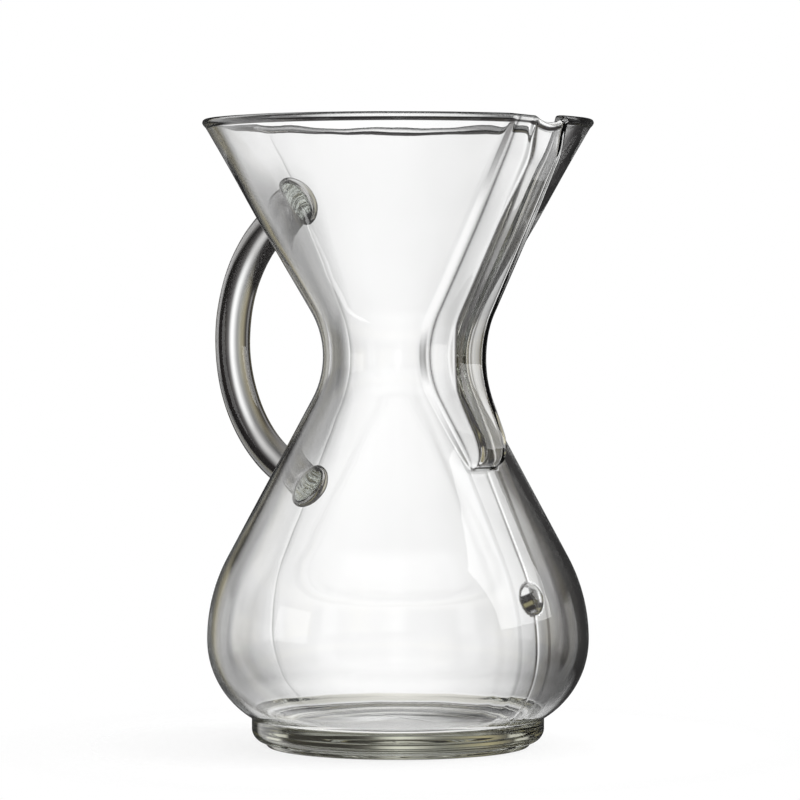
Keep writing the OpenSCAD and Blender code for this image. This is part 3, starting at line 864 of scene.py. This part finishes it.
# %% Tie the pieces to the frame
VESSEL_NODES = ["rim_bead", "funnel", "waist", "shoulder", "upper_bowl", "lower_bowl", "base",
                "pour_channel", "spout_lip", "level_button"]
HANDLE_NODES = ["handle_bow", "upper_handle_end", "lower_handle_end"]
for piece, nodes, slot in ((vessel, VESSEL_NODES, "vessel_glass"), (handle, HANDLE_NODES, "handle_glass")):
    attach(piece, "root")
    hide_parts(*nodes)
    print(piece.name, "stands for", len(nodes), "nodes")

# %% [markdown]
# The floor is a pale disc of matt paper that keeps the object's soft shadow close to the foot. Further
# out it fades into the plain white of the room, so no horizon shows. Rays that have passed or touched the
# glass leave it out, and see the room instead.

# %% Floor
FLOOR_R = 0.16
FLOOR_COLOUR = "#FBFBFB"
SHADOW_R = (0.07, 0.15)
FLOOR_GLOW = 0.75
FLOOR_SIDES = 64
PAPER_ROUGHNESS = 0.9

mesh = bpy.data.meshes.new("floor")
turn = np.linspace(0, 2 * np.pi, FLOOR_SIDES + 1)[:-1]
edge = [(FLOOR_R * math.cos(t), FLOOR_R * math.sin(t), 0) for t in turn]
mesh.from_pydata(edge, [], [list(range(FLOOR_SIDES))])
floor = bpy.data.objects.new("floor", mesh)
scene.collection.objects.link(floor)
floor.visible_transmission = False
floor.visible_glossy = False
paper = bpy.data.materials.new("matt_white_paper")
paper.use_nodes = True
tree = paper.node_tree
tree.nodes.clear()
place = add(tree, "ShaderNodeTexCoord", out="Object")
far = add(tree, "ShaderNodeVectorMath", {0: place}, operation="LENGTH", out="Value")
fade = add(tree, "ShaderNodeMapRange", {"Value": far, "From Min": SHADOW_R[0], "From Max": SHADOW_R[1]},
           interpolation_type="SMOOTHSTEP")
matt = add(tree, "ShaderNodeBsdfPrincipled", {"Base Color": colour(FLOOR_COLOUR),
                                              "Roughness": PAPER_ROUGHNESS})
white = add(tree, "ShaderNodeEmission", {"Color": colour("#FFFFFF"), "Strength": 1.0})
ray = add(tree, "ShaderNodeLightPath").node.outputs
glow = add(tree, "ShaderNodeMath", {0: ray["Is Camera Ray"], 1: FLOOR_GLOW}, operation="MULTIPLY")
table = add(tree, "ShaderNodeMixShader", {0: glow, 1: matt, 2: white})
gone = add(tree, "ShaderNodeBsdfTransparent")
both = add(tree, "ShaderNodeMixShader", {0: fade, 1: table, 2: gone})
add(tree, "ShaderNodeOutputMaterial", {"Surface": both})
mesh.materials.append(paper)
print("shadow fades out from, mm:", round(SHADOW_R[0] / MM), "to:", round(SHADOW_R[1] / MM))

# %% [markdown]
# Glass is photographed against a bright field: a white backdrop that it is seen through, and darker sides
# that draw its outlines. The world is that room, and Light Path tells the rays apart. The camera and matt
# surfaces see plain white. A ray that leaves the glass sees a tone for its bearing: white straight ahead,
# shade to both sides, and here and there a pale panel or a beige wall. The second half of the round
# repeats the first, so the object stands before a bright field from behind too. A tone for the height
# lies over that: a pale table below, shade above the backdrop. All of it is a little brighter than drawn,
# to make up for the light that two walls reflect away. A ray that the glass reflects sees a dim room with
# one bright window.

# %% Room: the tones
SHADE = "#3A3838"
PANEL = "#EEEEEE"
BEIGE = "#B5AD8E"
OLIVE = "#8A8568"
ROOM_TONES = [(-90, PANEL), (-82, PANEL), (-79, SHADE), (-76, BEIGE), (-60, BEIGE), (-57, SHADE),
              (-52, SHADE), (-49, PANEL), (-41, PANEL), (-38, "#7A7876"), (-26, "#C8C0A4"),
              (-13, "#9A9A96"), (-10, "#A0A0A0"), (-8, "#BABABA"), (-5, "#DCDCDC"), (-3, "#F4F4F4"),
              (-1, "#FFFFFF"), (0.5, "#FCFCFC"), (2, "#EFEFEF"), (4, "#D2D2D2"), (5.5, "#A8A8A8"),
              (7, "#7E7C7C"), (9, "#605E5E"), (12.5, "#484646"), (17, SHADE), (38, "#454343"),
              (41, PANEL), (50, PANEL), (53, SHADE), (76, BEIGE), (79, SHADE), (82, PANEL)]
HEIGHT_TONES = [(-90, SHADE, 1), (-62, SHADE, 1), (-50, "#FFFFFF", 0.85), (-22, "#FFFFFF", 0.85),
                (-14, "#FFFFFF", 0), (5.7, SHADE, 0), (8.6, SHADE, 1), (20, SHADE, 1), (23, OLIVE, 1),
                (27, OLIVE, 1), (31, SHADE, 1), (40, SHADE, 1), (50, "#B0B0B0", 0.85),
                (90, "#B0B0B0", 0.85)]
MIRROR_TONES = [(-180, "#303030"), (-78, "#303030"), (-70, "#FFFFFF"), (-42, "#FFFFFF"), (-32, "#303030")]

world = bpy.data.worlds.new("room")
scene.world = world
world.use_nodes = True
tree = world.node_tree
tree.nodes.clear()
direction = add(tree, "ShaderNodeTexCoord", out="Generated")
ahead, aside = [add(tree, "ShaderNodeVectorMath", {0: direction, 1: tuple(way)}, out="Value",
                    operation="DOT_PRODUCT") for way in (-towards_camera, camera_right)]
bearing = add(tree, "ShaderNodeMath", {0: aside, 1: ahead}, operation="ARCTAN2")
folded = add(tree, "ShaderNodeMath", {0: bearing, 1: QUARTER, 2: -QUARTER}, operation="WRAP")
up = add(tree, "ShaderNodeSeparateXYZ", {0: direction}, out="Z")
elevation = add(tree, "ShaderNodeMath", {0: up}, operation="ARCSINE")
looks = []
for angle, limit, tones in ((folded, QUARTER, ROOM_TONES), (elevation, QUARTER, HEIGHT_TONES),
                            (bearing, HALF_TURN, MIRROR_TONES)):
    share = add(tree, "ShaderNodeMapRange", {"Value": angle, "From Min": -limit, "From Max": limit})
    looks.append(add(tree, "ShaderNodeValToRGB", {"Fac": share}))
    span = math.degrees(limit)
    set_stops(looks[-1], [((degrees + span) / (2 * span), *tone) for degrees, *tone in tones])
walls, layers, mirrored = looks
print("tones by bearing:", len(ROOM_TONES), "by height:", len(HEIGHT_TONES))

# %% Room: which ray sees what
BACKDROP_STRENGTH = 1.1
MIRROR_STRENGTH = 1.8

ray = add(tree, "ShaderNodeLightPath").node.outputs
cover = layers.node.outputs["Alpha"]
around = add(tree, "ShaderNodeMix", {0: cover, 6: walls, 7: layers}, out=2, data_type="RGBA")
around = add(tree, "ShaderNodeVectorMath", {0: around, "Scale": BACKDROP_STRENGTH}, operation="SCALE")
dim = add(tree, "ShaderNodeVectorMath", {0: mirrored, "Scale": MIRROR_STRENGTH}, operation="SCALE")
past_glass = add(tree, "ShaderNodeMix", {0: ray["Is Transmission Ray"], 6: dim, 7: around}, out=2,
                 data_type="RGBA")
is_matt = add(tree, "ShaderNodeMath", {0: ray["Diffuse Depth"], 1: 1.0}, operation="MINIMUM")
plain = add(tree, "ShaderNodeMath", {0: ray["Is Camera Ray"], 1: is_matt}, operation="MAXIMUM")
seen = add(tree, "ShaderNodeMix", {0: plain, 6: past_glass, 7: colour("#FFFFFF")}, out=2, data_type="RGBA")
light = add(tree, "ShaderNodeBackground", {"Color": seen, "Strength": 1.0})
add(tree, "ShaderNodeOutputWorld", {"Surface": light})
print("nodes in the room:", len(tree.nodes))

# %% [markdown]
# Two softboxes stand beside the object and face it. Their reflections are the pale panels on the flask,
# and their light gives the floor its shadow. They are hidden from rays that pass through the glass, which
# would otherwise show their hard white edges.

# %% Softboxes
SOFTBOX_RADIANCE = 3.6
SOFTBOX_AIM = Vector((0, 0, 0.08))


def softbox(name, aside, front, up, width, height, radiance):
    """A lit panel that faces the object; its place is in metres to the right, to the camera and up."""
    lamp = bpy.data.lights.new(name, "AREA")
    lamp.shape = "RECTANGLE"
    lamp.size = width
    lamp.size_y = height
    lamp.energy = radiance * math.pi * width * height
    box = bpy.data.objects.new(name, lamp)
    scene.collection.objects.link(box)
    box.location = camera_right * aside + towards_camera * front + Vector((0, 0, up))
    box.rotation_euler = (SOFTBOX_AIM - box.location).to_track_quat("-Z", "Y").to_euler()
    box.visible_camera = False
    box.visible_transmission = False
    print(name, "watts:", round(lamp.energy, 1))


softbox("right_softbox", aside=0.95, front=0.08, up=0.55, width=0.9, height=0.8, radiance=SOFTBOX_RADIANCE)
softbox("left_softbox", aside=-1.0, front=0.45, up=0.22, width=0.45, height=0.35,
        radiance=SOFTBOX_RADIANCE / 2)

# %% [markdown]
# Light passes many surfaces on its way through two walls and a rod, so the path tracer gets more bounces
# than it has by default. The view transform is Standard, so a written colour comes out as it is.

# %% Render settings
scene.view_settings.view_transform = "Standard"
scene.cycles.max_bounces = 32
scene.cycles.transmission_bounces = 32
scene.cycles.glossy_bounces = 12
